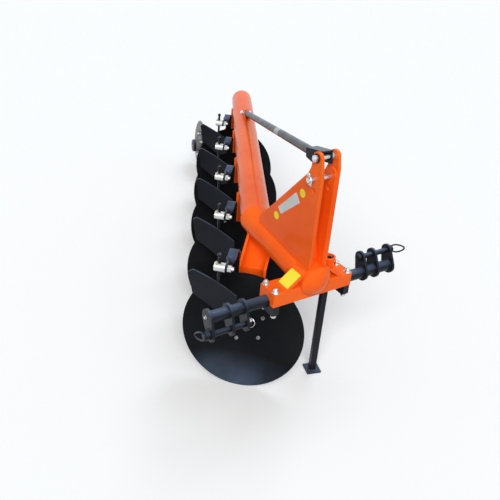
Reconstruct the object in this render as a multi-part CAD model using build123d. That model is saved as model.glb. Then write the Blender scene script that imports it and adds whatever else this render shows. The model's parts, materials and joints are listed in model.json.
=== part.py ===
from build123d import *
import math
import os

os.makedirs("parts", exist_ok=True)

# Five-disc mounted plough. Millimetres. X is the plough's left, Y is to the rear,
# Z is up. Work origin: on the floor, under the middle of the cross shaft.

SEAT = 0.3          # gap left at a curved seat
RUN = 0.08          # radial clearance of a turning shaft

# discs
DISC_R = 330.0
DISH = 95.0
DISC_T = 6.0
RIM_BEVEL = 14.0
RIM_LAND = 1.5
DISC_Z = 325.0
DISC_COUNT = 5
DISC_YAW = 44.2     # the face's turn from straight ahead
DISC_TILT = 9.8     # the face's lean to the rear
FIRST_DISC = (-239.0, 185.0)
DISC_PITCH = 568.4
LINE_YAW = 28.71    # the disc line's and rear beam's turn from the travel axis

# beam
TUBE_R = 84.15
TUBE_WALL = 10.0
BEAM_Z = 794.0
BEND_Y = 498.0
FRONT_Y = -64.0
FRONT_Z = 719.5
BEAM_END = 2310.0   # length of the rear run from the bend
CAP_RISE = 44.0
CAP_SKIRT = 6.0

# cross bar and the shaft clamped under it
BAR_HALF = 236.0
BAR_Y = 60.0
BAR_LOW, BAR_TOP = 628.0, 702.0
BAR_WALL = 12.0
BAR_ROUND = 7.0
CLAMP_INSET = 20.0
CLAMP_HALF = 17.0
CLAMP_LOW = 572.0
SHAFT_R = 30.0
SHAFT_Z = 635.0
SHAFT_HALF = 559.0

# hitch
PLATE_INSET = (193.0, 113.0, 7.0)   # each plate's middle, in from the shaft's end
PLATE_X = tuple(SHAFT_HALF - inset for inset in PLATE_INSET)
PLATE_T = 13.0
PIN_R = 14.3
PIN_SIDE = 29.0
PIN_RISE = 77.0
PLATE_R = 45.0
EYE_R = 34.0
HEAD_R = 21.0

# tower
TOWER_X = 46.0
TOWER_T = 15.0
DOUBLER_T = 8.0
MAST_Z = 1245.0
TOP_PIN_R = 12.7
PIN_PLAY = 0.4

# stay from the tower's ears to a lug on the rear beam
STAY_R = 21.0
STAY_REACH = 1568.6     # along the rear beam from the bend to the stay's rear pin
STAY_RISE = 112.0       # of the rear pin above the beam's middle line
STAY_PIN_R = 10.0
EAR_PIN_R = 12.0

# parking stand
LEG_X, LEG_Y = 172.0, 56.0
LEG_SIDE = 35.0
LEG_WALL = 4.0
LEG_ROUND = 4.0
LEG_TURN = -16.0
LEG_TOP = 742.0
FOOT_SIDE = 84.0
FOOT_T = 8.0
SOCKET_R = 31.0
SOCKET_TOP = 752.0

# rear furrow wheel
WHEEL_R = 235.0
WHEEL_LEAN = 1.5
WHEEL_YAW = 14.0
WHEEL_ASIDE = -357.8    # across the rear beam from its end, and behind it
WHEEL_BEHIND = 327.4
AXLE_R = 20.0
POST_R = 27.0


def vec(*xyz):
    return Vector(*xyz)


def rod(start, end, radius):
    a, b = Vector(*start), Vector(*end)
    place = Plane(origin=a, z_dir=b - a)
    return place * Cylinder(radius, (b - a).length, align=(Align.CENTER, Align.CENTER, Align.MIN))


def rounded(corners):
    """Closed flat outline. Each corner is (x, y) or (x, y, radius)."""
    edges = []
    last = None
    first = None
    count = len(corners)
    for i, corner in enumerate(corners):
        here = Vector(corner[0], corner[1])
        before = Vector(*corners[i - 1][:2])
        after = Vector(*corners[(i + 1) % count][:2])
        radius = corner[2] if len(corner) > 2 else 0
        if radius:
            into = (here - before).normalized()
            out = (after - here).normalized()
            turn = math.acos(max(-1.0, min(1.0, into.dot(out))))
            cut = radius * math.tan(turn / 2)
            start = here - into * cut
            end = here + out * cut
            inward = (out - into).normalized()
            middle = here + inward * (radius / math.cos(turn / 2) - radius)
        else:
            start = end = here
        if last is not None and (start - last).length > 1e-6:
            edges.append(Line(last, start))
        if radius:
            edges.append(ThreePointArc(start, middle, end))
        if first is None:
            first = start
        last = end
    if (first - last).length > 1e-6:
        edges.append(Line(last, first))
    return make_face(edges)


def prism(plane, corners, low, high):
    return extrude(plane.offset(low) * rounded(corners), amount=high - low, dir=plane.z_dir)


def folded(path, thickness):
    """Outline of a folded strip. The path is its outer side, and the strip lies to the path's left."""
    spots = [Vector(p[0], p[1]) for p in path]
    runs = [(b - a).normalized() for a, b in zip(spots, spots[1:])]
    inner = []
    for i, spot in enumerate(spots):
        after = runs[min(i, len(runs) - 1)]
        along = (runs[max(i - 1, 0)] + after).normalized()
        across = Vector(-along.Y, along.X) * (thickness / along.dot(after))
        radius = path[i][2] - thickness if len(path[i]) > 2 else 0
        inner.append((spot.X + across.X, spot.Y + across.Y, radius))
    return list(path) + inner[::-1]


def box(x, y, z):
    return Pos((x[0] + x[1]) / 2, (y[0] + y[1]) / 2, (z[0] + z[1]) / 2) * Box(
        x[1] - x[0], y[1] - y[0], z[1] - z[0])


def heading(yaw):
    turn = math.radians(yaw)
    return Vector(math.sin(turn), math.cos(turn), 0)


def unit_plane(k):
    """Frame of disc unit k: x along the face, y to its rear, z up, on the floor."""
    yaw = math.radians(DISC_YAW)
    step = heading(LINE_YAW) * (DISC_PITCH * k)
    return Plane(
        origin=(FIRST_DISC[0] + step.X, FIRST_DISC[1] + step.Y, 0),
        x_dir=(math.cos(yaw), -math.sin(yaw), 0),
        z_dir=(0, 0, 1),
    )


TILT = math.radians(DISC_TILT)
FACE = Plane(origin=(0, 0, DISC_Z), x_dir=(1, 0, 0), z_dir=(0, -math.cos(TILT), math.sin(TILT)))

# beam tube
bend_point = Vector(0, BEND_Y, BEAM_Z)
front_point = Vector(0, FRONT_Y, FRONT_Z)
front_dir = (front_point - bend_point).normalized()
rear_dir = heading(LINE_YAW)
aside_dir = Vector(rear_dir.Y, -rear_dir.X, 0)
rear_point = bend_point + rear_dir * BEAM_END


def bent_tube(radius, front_extra=0.0, rear_extra=0.0):
    """Both runs of the beam, mitred at the bend."""
    a = front_point + front_dir * front_extra
    c = rear_point + rear_dir * rear_extra
    mitre = Plane(origin=bend_point, z_dir=(rear_dir - front_dir).normalized())
    front = split(rod(a, bend_point - front_dir * 120, radius), bisect_by=mitre, keep=Keep.BOTTOM)
    rear = split(rod(bend_point - rear_dir * 120, c, radius), bisect_by=mitre, keep=Keep.TOP)
    return front + rear


beam_outer = bent_tube(TUBE_R)
beam_inner = bent_tube(TUBE_R - TUBE_WALL, front_extra=5.0, rear_extra=-12.0)
cap_plane = Plane(origin=front_point, x_dir=(1, 0, 0), z_dir=front_dir)
cap_r = (TUBE_R ** 2 + (CAP_RISE - CAP_SKIRT) ** 2) / (2 * (CAP_RISE - CAP_SKIRT))
cap_turn = math.asin(TUBE_R / cap_r) / 2
cap_mid = (cap_r * math.sin(cap_turn), CAP_RISE - cap_r + cap_r * math.cos(cap_turn))
cap_outline = make_face([
    Polyline((0, CAP_RISE), (0, -2), (TUBE_R, -2), (TUBE_R, CAP_SKIRT)),
    ThreePointArc((TUBE_R, CAP_SKIRT), cap_mid, (0, CAP_RISE)),
])
cap = cap_plane * revolve(Plane.XZ * cap_outline, Axis.Z)
shaft_way = rod((-BAR_HALF, 0, SHAFT_Z), (BAR_HALF, 0, SHAFT_Z), SHAFT_R + 1)
tube_solid = beam_outer + cap
main_beam = beam_outer + cap - beam_inner - shaft_way

# cross bar: a rounded trough over the shaft, with braces up to the beam and the stand's socket
bar_height = BAR_TOP - BAR_LOW
bar_profile = [
    (-BAR_Y, BAR_LOW), (BAR_Y, BAR_LOW), (BAR_Y, BAR_TOP, BAR_ROUND), (-BAR_Y, BAR_TOP, BAR_ROUND)]
bar = prism(Plane.YZ, bar_profile, -BAR_HALF, BAR_HALF)
bar -= box((-BAR_HALF + BAR_WALL, BAR_HALF - BAR_WALL), (-BAR_Y + BAR_WALL, BAR_Y - BAR_WALL),
           (BAR_LOW - 1, BAR_TOP - BAR_WALL))
BRACE_Y = (-62.0, 26.0)
BRACE_WEB = (-30.0, -18.0)
braces = Part()
for side in (-1, 1):
    plate = [(side * 62, 786), (side * 168, 702), (side * 150, 702), (side * 50, 780)]
    web = [(side * 140, 700), (side * 60, 775), (side * 60, 700)]
    braces += prism(Plane.XZ, plate, -BRACE_Y[1], -BRACE_Y[0])
    braces += prism(Plane.XZ, web, -BRACE_WEB[1], -BRACE_WEB[0])
leg_reach = (LEG_SIDE / 2 - LEG_ROUND) * math.sqrt(2) + LEG_ROUND
socket_face = rounded([
    (0, BAR_LOW), (SOCKET_R, BAR_LOW), (SOCKET_R, SOCKET_TOP - 14), (SOCKET_R + 3, SOCKET_TOP - 12),
    (SOCKET_R + 3, SOCKET_TOP, 2.5), (0, SOCKET_TOP)])
socket = Pos(LEG_X, LEG_Y, 0) * revolve(Plane.XZ * socket_face, Axis.Z)
socket_bore = Pos(LEG_X, LEG_Y, BAR_LOW - 5) * Cylinder(
    leg_reach + 1.0, 140, align=(Align.CENTER, Align.CENTER, Align.MIN))
shaft_slot = rod((-SHAFT_HALF, 0, SHAFT_Z), (SHAFT_HALF, 0, SHAFT_Z), SHAFT_R + SEAT)
shaft_mouth = box((-SHAFT_HALF, SHAFT_HALF), (-SHAFT_R - SEAT, SHAFT_R + SEAT), (BAR_LOW - 5, SHAFT_Z))
cross_bar = bar + braces + socket - tube_solid - socket_bore - shaft_slot - shaft_mouth

cross_shaft = rod((-SHAFT_HALF, 0, SHAFT_Z), (SHAFT_HALF, 0, SHAFT_Z), SHAFT_R)

# the two clamp blocks under the bar
clamp_profile = [(-BAR_Y, CLAMP_LOW, 10), (BAR_Y, CLAMP_LOW, 10), (BAR_Y, BAR_LOW), (-BAR_Y, BAR_LOW)]
shaft_clamps = Part()
for side in (-1, 1):
    middle = side * (BAR_HALF - CLAMP_INSET)
    shaft_clamps += prism(Plane.YZ, clamp_profile, middle - CLAMP_HALF, middle + CLAMP_HALF) - shaft_slot


def hitch_plates(side):
    """Three plates on one end of the shaft. Those on the right hang down."""
    eye = (side * PIN_SIDE, SHAFT_Z + side * PIN_RISE)
    length = math.hypot(PIN_SIDE, PIN_RISE)
    lean = math.atan2(eye[1] - SHAFT_Z, eye[0])
    spread = math.acos((PLATE_R - EYE_R) / length)
    tangent = []
    for sign, order in ((1, (0, 1)), (-1, (1, 0))):
        angle = lean + sign * spread
        big = (PLATE_R * math.cos(angle), SHAFT_Z + PLATE_R * math.sin(angle))
        small = (eye[0] + EYE_R * math.cos(angle), eye[1] + EYE_R * math.sin(angle))
        pair = (big, small)
        tangent += [pair[order[0]], pair[order[1]]]
    face = make_face(Polyline(*tangent, close=True))
    face += Pos(0, SHAFT_Z) * Circle(PLATE_R)
    face += Pos(*eye) * Circle(EYE_R)
    face -= Pos(0, SHAFT_Z) * Circle(SHAFT_R + SEAT)
    face -= Pos(*eye) * Circle(PIN_R + PIN_PLAY)
    plates = Part()
    for x in PLATE_X:
        plane = Plane.YZ.offset(side * x - PLATE_T / 2)
        plates += extrude(plane * face, amount=PLATE_T, dir=(1, 0, 0))
    return plates


PIN_INNER, PIN_OUTER = 24.0, 30.0   # reach of a lower pin past the plates


def lower_pin(side):
    """The left pin has a round head inside, the right one a plain end for a lynch pin."""
    y, z = side * PIN_SIDE, SHAFT_Z + side * PIN_RISE
    inner = PLATE_X[0] - PLATE_T / 2
    outer = PLATE_X[2] + PLATE_T / 2
    reach = 2.0 if side > 0 else PIN_INNER
    pin = rod((side * (inner - reach), y, z), (side * (outer + PIN_OUTER), y, z), PIN_R)
    pin += rod((side * (outer + SEAT), y, z), (side * (outer + PIN_OUTER - 8), y, z), HEAD_R)
    if side > 0:
        head = revolve(Plane.XZ * rounded([(0, 0), (HEAD_R, 0), (HEAD_R, 16, 7), (0, 16)]), Axis.Z)
        pin += Plane(origin=(inner - SEAT, y, z), z_dir=(-1, 0, 0)) * head
    return pin


# headstock tower: two plates with ears for the stay, each doubled inside
stay_hole = (-18.0, 1341.0)
top_pin = (-20.0, MAST_Z)
low_hole = (-22.0, 1188.0)
tower_outline = [
    (-62, 780), (-62, 1290, 60), (-46, 1367, 26), (6, 1373, 26), (14, 1290, 14), (30, 1256, 30),
    (372, 890, 24), (383, 872, 12), (383, 830), (383, 780)]
doubler_outline = [(-58, 800), (-58, 1292, 36), (16, 1292, 36), (20, 1120, 40), (60, 960), (60, 800)]
web_outline = [(-10, 800), (58, 1150), (70, 1150), (6, 800)]
gap_half = TOWER_X - TOWER_T / 2 - DOUBLER_T


def tower_plate(side):
    low = side * TOWER_X - TOWER_T / 2
    inside = (gap_half, gap_half + DOUBLER_T) if side > 0 else (-gap_half - DOUBLER_T, -gap_half)
    plate = prism(Plane.YZ, tower_outline, low, low + TOWER_T)
    plate += prism(Plane.YZ, doubler_outline, *inside)
    for centre, radius in ((stay_hole, EAR_PIN_R), (top_pin, TOP_PIN_R), (low_hole, TOP_PIN_R)):
        plate -= rod((side * 20, *centre), (side * 80, *centre), radius + PIN_PLAY)
    return plate - tube_solid


tower_web = prism(Plane.YZ, web_outline, -gap_half, gap_half) - tube_solid

outside = TOWER_X + TOWER_T / 2
top_link_pin = rod((-outside - 38, *top_pin), (outside + 15, *top_pin), TOP_PIN_R)
top_link_pin += rod((outside + SEAT, *top_pin), (outside + 15, *top_pin), 20)

# stay
ear_pin = Vector(0, *stay_hole)
rear_pin = bend_point + rear_dir * STAY_REACH + Vector(0, 0, STAY_RISE)
stay_root = ear_pin + Vector(0, 94, -14)
stay_dir = (rear_pin - stay_root).normalized()
side_dir = Vector(stay_dir.Y, -stay_dir.X, 0).normalized()
CLEVIS_X = (-36.0, 20.0)
CLEVIS_WALL = 9.0
CLEVIS_UP = 30.0
CLEVIS_BACK, CLEVIS_FRONT = -105.0, 16.0
clevis_plane = Plane(origin=ear_pin, x_dir=(1, 0, 0), z_dir=(0, -1, 0.17))
clevis_block = clevis_plane * box(CLEVIS_X, (-CLEVIS_UP, CLEVIS_UP), (CLEVIS_BACK, CLEVIS_FRONT))
clevis_outline = [(CLEVIS_BACK, -14, 8), (-60, -CLEVIS_UP, 20), (CLEVIS_FRONT, -CLEVIS_UP, 3),
                  (CLEVIS_FRONT, CLEVIS_UP, 3), (CLEVIS_BACK, CLEVIS_UP, 10)]
clevis_side = Plane(origin=ear_pin, x_dir=clevis_plane.z_dir, z_dir=(-1, 0, 0))
stay_clevis = prism(clevis_side, clevis_outline, -CLEVIS_X[1], -CLEVIS_X[0])
stay_clevis -= clevis_plane * box(
    (CLEVIS_X[0] + CLEVIS_WALL, CLEVIS_X[1] - CLEVIS_WALL), (-CLEVIS_UP - 1, CLEVIS_UP - CLEVIS_WALL),
    (CLEVIS_BACK + 26, CLEVIS_FRONT + 1))
stay_clevis -= rod((-60, *stay_hole), (60, *stay_hole), EAR_PIN_R + PIN_PLAY)
stay_end = rear_pin - stay_dir * 60
stay_bar = rod(stay_root - stay_dir * 20, stay_end, STAY_R) - clevis_block
eye_plane = Plane(origin=rear_pin, x_dir=stay_dir, z_dir=side_dir)
EYE_T = 16.0
LUG_T = 14.0
LUG_SIDE = EYE_T / 2 + SEAT + LUG_T / 2
eye = prism(eye_plane, [(-94, -STAY_R, 6), (25, -STAY_R - 2, 22), (25, STAY_R + 2, 22), (-94, STAY_R, 6)],
            -EYE_T / 2, EYE_T / 2)
stay_bar += eye - eye_plane * Cylinder(STAY_PIN_R + PIN_PLAY, 60)
lug_outline = [(-92, -62), (-30, 8, 14), (-14, 27, 14), (20, 27, 20), (27, -6, 20), (44, -62)]
stay_lugs = Part()
for side in (-1, 1):
    low = side * LUG_SIDE - LUG_T / 2
    lug = prism(eye_plane, lug_outline, low, low + LUG_T)
    stay_lugs += lug - eye_plane * Cylinder(STAY_PIN_R + PIN_PLAY, 80) - tube_solid
stay_bolts = eye_plane * Cylinder(STAY_PIN_R, 2 * (LUG_SIDE + LUG_T / 2) + 18)
stay_bolts += rod((-outside - 13, *stay_hole), (outside + 13, *stay_hole), EAR_PIN_R)
stay_bolts += rod((CLEVIS_X[1] + SEAT, *stay_hole), (TOWER_X - TOWER_T / 2 - SEAT, *stay_hole), 17)

# disc units: the dished disc, its flanged hub, and the housing that the hub turns in
sphere_r = (DISC_R ** 2 + DISH ** 2) / (2 * DISH)
sphere_z = sphere_r - DISH
back_r = sphere_r + DISC_T


def sag(radius, r):
    return sphere_z - math.sqrt(radius ** 2 - r ** 2)


def dish_arc(radius, r1):
    mid = r1 / 2
    return ThreePointArc((0, sag(radius, 0)), (mid, sag(radius, mid)), (r1, sag(radius, r1)))


FLANGE_R = 125.0
FLANGE_T = 14.0
SEAT_R = 88.0       # inner edge of the hub's cone seat
NECK_R = 48.0
HUB_BACK = -118.0
STUB_R = 32.0
STUB_END = -238.0
HOUSE_FRONT = -123.0
HOUSE_END = -248.0
HOUSE_R = 60.0

inner_arc = dish_arc(sphere_r, DISC_R)
outer_arc = dish_arc(back_r, DISC_R - RIM_BEVEL)
disc_face = make_face([
    inner_arc,
    Polyline(inner_arc @ 1, (DISC_R, sag(sphere_r, DISC_R) - RIM_LAND), outer_arc @ 1),
    outer_arc,
    Line(outer_arc @ 0, inner_arc @ 0)])
dish = revolve(Plane.XZ * disc_face, Axis.Z)

cone_r = (SEAT_R + FLANGE_R) / 2
cone_slope = cone_r / math.sqrt(back_r ** 2 - cone_r ** 2)


def cone_z(r):
    return sag(back_r, cone_r) - SEAT + (r - cone_r) * cone_slope


hub_face = rounded([
    (0, HUB_BACK + 8), (SEAT_R - 4, HUB_BACK + 8), (SEAT_R, cone_z(SEAT_R)), (FLANGE_R, cone_z(FLANGE_R)),
    (FLANGE_R, cone_z(FLANGE_R) - FLANGE_T, 3), (NECK_R + 14, HUB_BACK + 4, 8), (NECK_R, HUB_BACK),
    (STUB_R, HUB_BACK), (STUB_R, STUB_END), (0, STUB_END)])
hub = revolve(Plane.XZ * hub_face, Axis.Z)
house_face = rounded([
    (STUB_R + RUN, HOUSE_FRONT), (HOUSE_R - 8, HOUSE_FRONT), (HOUSE_R - 8, HOUSE_FRONT - 8),
    (HOUSE_R, HOUSE_FRONT - 12), (HOUSE_R, HOUSE_END + 18), (HOUSE_R - 6, HOUSE_END + 14),
    (HOUSE_R - 12, HOUSE_END, 5), (0, HOUSE_END), (0, STUB_END - 3), (STUB_R + RUN, STUB_END - 3)])
housing = revolve(Plane.XZ * house_face, Axis.Z)
house_solid = FACE * (Pos(0, 0, (HOUSE_FRONT + HOUSE_END) / 2) * Cylinder(
    HOUSE_R + SEAT, HOUSE_FRONT - HOUSE_END))

# standards: a rolled channel, open to the front
SHIN_R = 76.0
SHIN_T = 14.0
SHIN_Y = 140.0
SHIN_LOW, SHIN_TOP = 228.0, 790.0
KNEE_Z = 632.0
HEAD = Vector(0, 400, 760)      # where the first standard's sloping part meets the beam
COLLAR_R = 74.0


def shin(length):
    """Half-pipe, open to -Y, rising along Z from the origin."""
    ring = Circle(SHIN_R) - Circle(SHIN_R - SHIN_T)
    half = ring & (Pos(0, SHIN_R / 2) * Rectangle(4 * SHIN_R, SHIN_R))
    return extrude(half, amount=length, dir=(0, 0, 1))


def standard(k):
    place = unit_plane(k)
    body = Pos(0, SHIN_Y, SHIN_LOW) * shin(SHIN_TOP - SHIN_LOW)
    if k == 0:
        knee = Vector(0, SHIN_Y, KNEE_Z)
        slope = (HEAD - knee).normalized()
        cut = Plane(origin=knee, z_dir=(Vector(0, 0, 1) + slope).normalized())
        low = split(body, bisect_by=cut, keep=Keep.BOTTOM)
        high_plane = Plane(origin=knee - slope * 200, x_dir=(1, 0, 0), z_dir=slope)
        high = high_plane * shin(200 + (HEAD - knee).length)
        body = low + split(high, bisect_by=cut, keep=Keep.TOP)
    # the front edges taper at the foot
    body -= prism(Plane.YZ, [(SHIN_Y - 10, 200), (SHIN_Y + 90, 200), (SHIN_Y - 10, 290)], -100, 100)
    carrier = box((-SHIN_R + SHIN_T + 2, SHIN_R - SHIN_T - 2), (SHIN_Y + 22, SHIN_Y + 66), (238, 352))
    collar = FACE * (Pos(0, 0, HOUSE_END + 34) * Cylinder(COLLAR_R, 16))
    body = body + carrier + collar - house_solid
    return place * body - tube_solid


# scrapers: a strap arches forward from the standard and is twisted upright where it holds the clamp,
# and the blade's rod hangs in the clamp
STRAP_X = (-116.0, -68.0)
STRAP_T = 10.0
STRAP_FOOT = 570.0
STRAP_BEND = (736.0, 34.0)      # height and radius of the bend above the foot
STRAP_CREST = (98.0, 752.0, 34.0)
TWIST_FROM = (54.0, 735.0)
TWIST_TO = (0.0, 712.0)
TWIST_STEPS = 4
TAB_X = (-103.0, -93.0)
TAB_FRONT = -40.0
ROD_X, ROD_Y = -136.0, -22.0
ROD_R = 8.5
ROD_LOW, ROD_TOP = 552.0, 775.0
KNOB_R = 12.5
CLAMP_R = 24.5
CLAMP_Z = 708.0
CLAMP_X = (-160.0, TAB_X[0] - SEAT)
SHANK_R = 10.0
NUT_R, NUT_T = 19.0, 20.0
SHANK_END = TAB_X[1] + NUT_T + 12
BLADE_T = 8.0
BLADE_ROLL = 526.0      # the blade's rolled radius, about an upright axis in front of it
BLADE_ROLL_X = -20.0
BLADE_YAW, BLADE_LEAN = math.radians(1.1), math.radians(-8.0)
blade_plane = Plane(
    origin=(ROD_X, -23.8, 500),
    x_dir=(math.cos(BLADE_YAW), math.sin(BLADE_YAW), 0),
    z_dir=(math.sin(BLADE_YAW) * math.cos(BLADE_LEAN), -math.cos(BLADE_YAW) * math.cos(BLADE_LEAN),
           math.sin(BLADE_LEAN)))
blade_outline = [(-146.8, 181.1, 3), (-125.9, 195.3, 8), (104.8, 66.6, 10), (104.8, -70, 20), (50, -115, 30),
                 (-129.4, 34.5, 12)]


def scraper_blade(k):
    """A plate rolled hollow to the front, with its rod welded to the back."""
    axis_plane = Plane(origin=(BLADE_ROLL_X, 0, BLADE_ROLL), z_dir=(0, 1, 0))
    rolled = blade_plane * (axis_plane * (Cylinder(BLADE_ROLL + BLADE_T, 600) - Cylinder(BLADE_ROLL, 600)))
    plate = prism(blade_plane, blade_outline, -BLADE_T - 2, BLADE_ROLL / 4) & rolled
    stem = rod((ROD_X, ROD_Y, ROD_LOW), (ROD_X, ROD_Y, ROD_TOP), ROD_R)
    stem += Pos(ROD_X, ROD_Y, ROD_TOP) * Sphere(KNOB_R)
    return unit_plane(k) * (plate + stem)


def scraper_clamp(k):
    barrel = rod((CLAMP_X[0], ROD_Y, CLAMP_Z), (CLAMP_X[1], ROD_Y, CLAMP_Z), CLAMP_R)
    barrel += rod((CLAMP_X[1], ROD_Y, CLAMP_Z), (SHANK_END, ROD_Y, CLAMP_Z), SHANK_R)
    nut = extrude(RegularPolygon(NUT_R, 6), amount=NUT_T)
    barrel += Plane(origin=(TAB_X[1] + SEAT, ROD_Y, CLAMP_Z), z_dir=(1, 0, 0)) * nut
    barrel -= rod((ROD_X, ROD_Y, CLAMP_Z - 40), (ROD_X, ROD_Y, CLAMP_Z + 40), ROD_R + SEAT)
    return unit_plane(k) * barrel


def scraper_strap(k):
    path = [(SHIN_Y, STRAP_FOOT), (SHIN_Y, *STRAP_BEND), STRAP_CREST, TWIST_FROM]
    strap = prism(Plane.YZ, folded(path, STRAP_T), *STRAP_X)
    fall = Vector(0, TWIST_FROM[0] - STRAP_CREST[0], TWIST_FROM[1] - STRAP_CREST[1]).normalized()
    forward = Vector(0, -1, 0)
    width = STRAP_X[1] - STRAP_X[0]
    start = Vector(sum(STRAP_X) / 2, *TWIST_FROM) + Vector(0, -fall.Z, fall.Y) * (STRAP_T / 2)
    end = Vector(sum(TAB_X) / 2, *TWIST_TO)
    sections = []
    for i in range(TWIST_STEPS + 1):
        part = i / TWIST_STEPS
        turn = math.radians(90 * part)
        place = Plane(origin=start + (end - start) * part, x_dir=(math.cos(turn), 0, -math.sin(turn)),
                      z_dir=fall * (1 - part) + forward * part)
        sections.append(place * Rectangle(width, STRAP_T))
    strap += loft(sections, ruled=True)
    low, high = TWIST_TO[1] - width / 2, TWIST_TO[1] + width / 2
    tab = [(TAB_FRONT, low, 12), (TWIST_TO[0], low), (TWIST_TO[0], high), (TAB_FRONT, high, 16)]
    strap += prism(Plane.YZ, tab, *TAB_X)
    strap -= rod((TAB_X[0] - 5, ROD_Y, CLAMP_Z), (TAB_X[1] + 5, ROD_Y, CLAMP_Z), SHANK_R + SEAT)
    return unit_plane(k) * strap - tube_solid


# rear furrow wheel on its arm
lean = math.radians(WHEEL_LEAN)
wheel_run = heading(WHEEL_YAW)
wheel_side = Vector(wheel_run.Y, -wheel_run.X, 0)
wheel_axis = wheel_side * math.cos(lean) - Vector(0, 0, 1) * math.sin(lean)
wheel_foot = rear_point + rear_dir * WHEEL_BEHIND + aside_dir * WHEEL_ASIDE
wheel_centre = Vector(wheel_foot.X, wheel_foot.Y, WHEEL_R * math.cos(lean))
wheel_plane = Plane(origin=wheel_centre, x_dir=wheel_run, z_dir=wheel_axis)
HUB_OUT, HUB_IN = -70.0, 46.0
wheel_face = rounded([
    (0, HUB_OUT), (42, HUB_OUT, 6), (50, HUB_OUT + 16), (56, HUB_OUT + 18), (56, -14, 3), (92, -12, 4),
    (96, -6, 3), (WHEEL_R - 14, -6), (WHEEL_R, -1), (WHEEL_R, 1), (WHEEL_R - 14, 6), (70, 6, 3), (52, 14),
    (52, HUB_IN, 4), (AXLE_R + RUN, HUB_IN), (AXLE_R + RUN, HUB_OUT + 14), (0, HUB_OUT + 14)])
furrow_wheel = wheel_plane * revolve(Plane.XZ * wheel_face, Axis.Z)
axle_in, axle_out = HUB_OUT + 20, 118.0
wheel_axle = rod(wheel_centre + wheel_axis * axle_in, wheel_centre + wheel_axis * axle_out, AXLE_R)
arm_foot = wheel_centre + wheel_axis * 85
arm_head = rear_point + rear_dir * 36
ARM_TOP, ARM_KNEE = 852.0, 600.0
arm_post = Vector(arm_head.X, arm_head.Y, ARM_KNEE)
foot_hub = rod(wheel_centre + wheel_axis * 54, wheel_centre + wheel_axis * 112, 34)
wheel_arm = rod(Vector(arm_head.X, arm_head.Y, ARM_TOP), arm_post, POST_R) + Pos(*arm_post) * Sphere(POST_R)
wheel_arm += rod(arm_post, arm_foot, POST_R) + foot_hub
wheel_arm -= rod(wheel_centre + wheel_axis * 20, wheel_centre + wheel_axis * 140, AXLE_R + SEAT)
SLEEVE_R = 42.0
SLEEVE_LOW, SLEEVE_TOP = 690.0, 842.0
sleeve = rod(Vector(arm_head.X, arm_head.Y, SLEEVE_LOW), Vector(arm_head.X, arm_head.Y, SLEEVE_TOP), SLEEVE_R)
main_beam = main_beam + sleeve - rod(
    Vector(arm_head.X, arm_head.Y, 600), Vector(arm_head.X, arm_head.Y, 950), POST_R + SEAT)

# parking stand
leg_outer = RectangleRounded(LEG_SIDE, LEG_SIDE, LEG_ROUND)
leg_inner = RectangleRounded(LEG_SIDE - 2 * LEG_WALL, LEG_SIDE - 2 * LEG_WALL, 2)
leg_tube = Pos(0, 0, FOOT_T) * extrude(leg_outer - leg_inner, amount=LEG_TOP - FOOT_T)
foot = extrude(RectangleRounded(FOOT_SIDE, FOOT_SIDE, 5), amount=FOOT_T)
stand_leg = Pos(LEG_X, LEG_Y, 0) * Rot(0, 0, LEG_TURN) * (leg_tube + foot)

nodes = {
    "main_beam": main_beam,
    "cross_bar": cross_bar,
    "tower_left_plate": tower_plate(1),
    "tower_right_plate": tower_plate(-1),
    "tower_web": tower_web,
    "top_link_pin": top_link_pin,
    "stay_clevis": stay_clevis,
    "stay_bar": stay_bar,
    "stay_lugs": stay_lugs,
    "stay_bolts": stay_bolts,
    "cross_shaft": cross_shaft,
    "shaft_clamps": shaft_clamps,
    "hitch_plates_left": hitch_plates(1),
    "hitch_plates_right": hitch_plates(-1),
    "lower_pin_left": lower_pin(1),
    "lower_pin_right": lower_pin(-1),
    "stand_leg": stand_leg,
    "wheel_arm": wheel_arm,
    "wheel_axle": wheel_axle,
    "furrow_wheel": furrow_wheel,
}
clamps = Part()
for k in range(DISC_COUNT):
    number = k + 1
    nodes[f"standard_{number}"] = standard(k)
    nodes[f"bearing_{number}"] = unit_plane(k) * (FACE * housing)
    nodes[f"hub_{number}"] = unit_plane(k) * (FACE * hub)
    nodes[f"disc_{number}"] = unit_plane(k) * (FACE * dish)
    nodes[f"scraper_strap_{number}"] = scraper_strap(k)
    nodes[f"scraper_blade_{number}"] = scraper_blade(k)
    clamps += scraper_clamp(k)
nodes["scraper_clamps"] = clamps

# the finished part stands on its origin: the middle of its bounding box, on the floor
low_corner = Vector(*[min(getattr(s.bounding_box().min, a) for s in nodes.values()) for a in "XYZ"])
high_corner = Vector(*[max(getattr(s.bounding_box().max, a) for s in nodes.values()) for a in "XYZ"])
SHIFT = Vector(-(low_corner.X + high_corner.X) / 2, -(low_corner.Y + high_corner.Y) / 2, -low_corner.Z)

for name, shape in nodes.items():
    export_step(Pos(*SHIFT) * shape, f"parts/{name}.step")
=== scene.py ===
import bpy
import bmesh
import json
import math
from mathutils import Matrix, Vector


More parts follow.
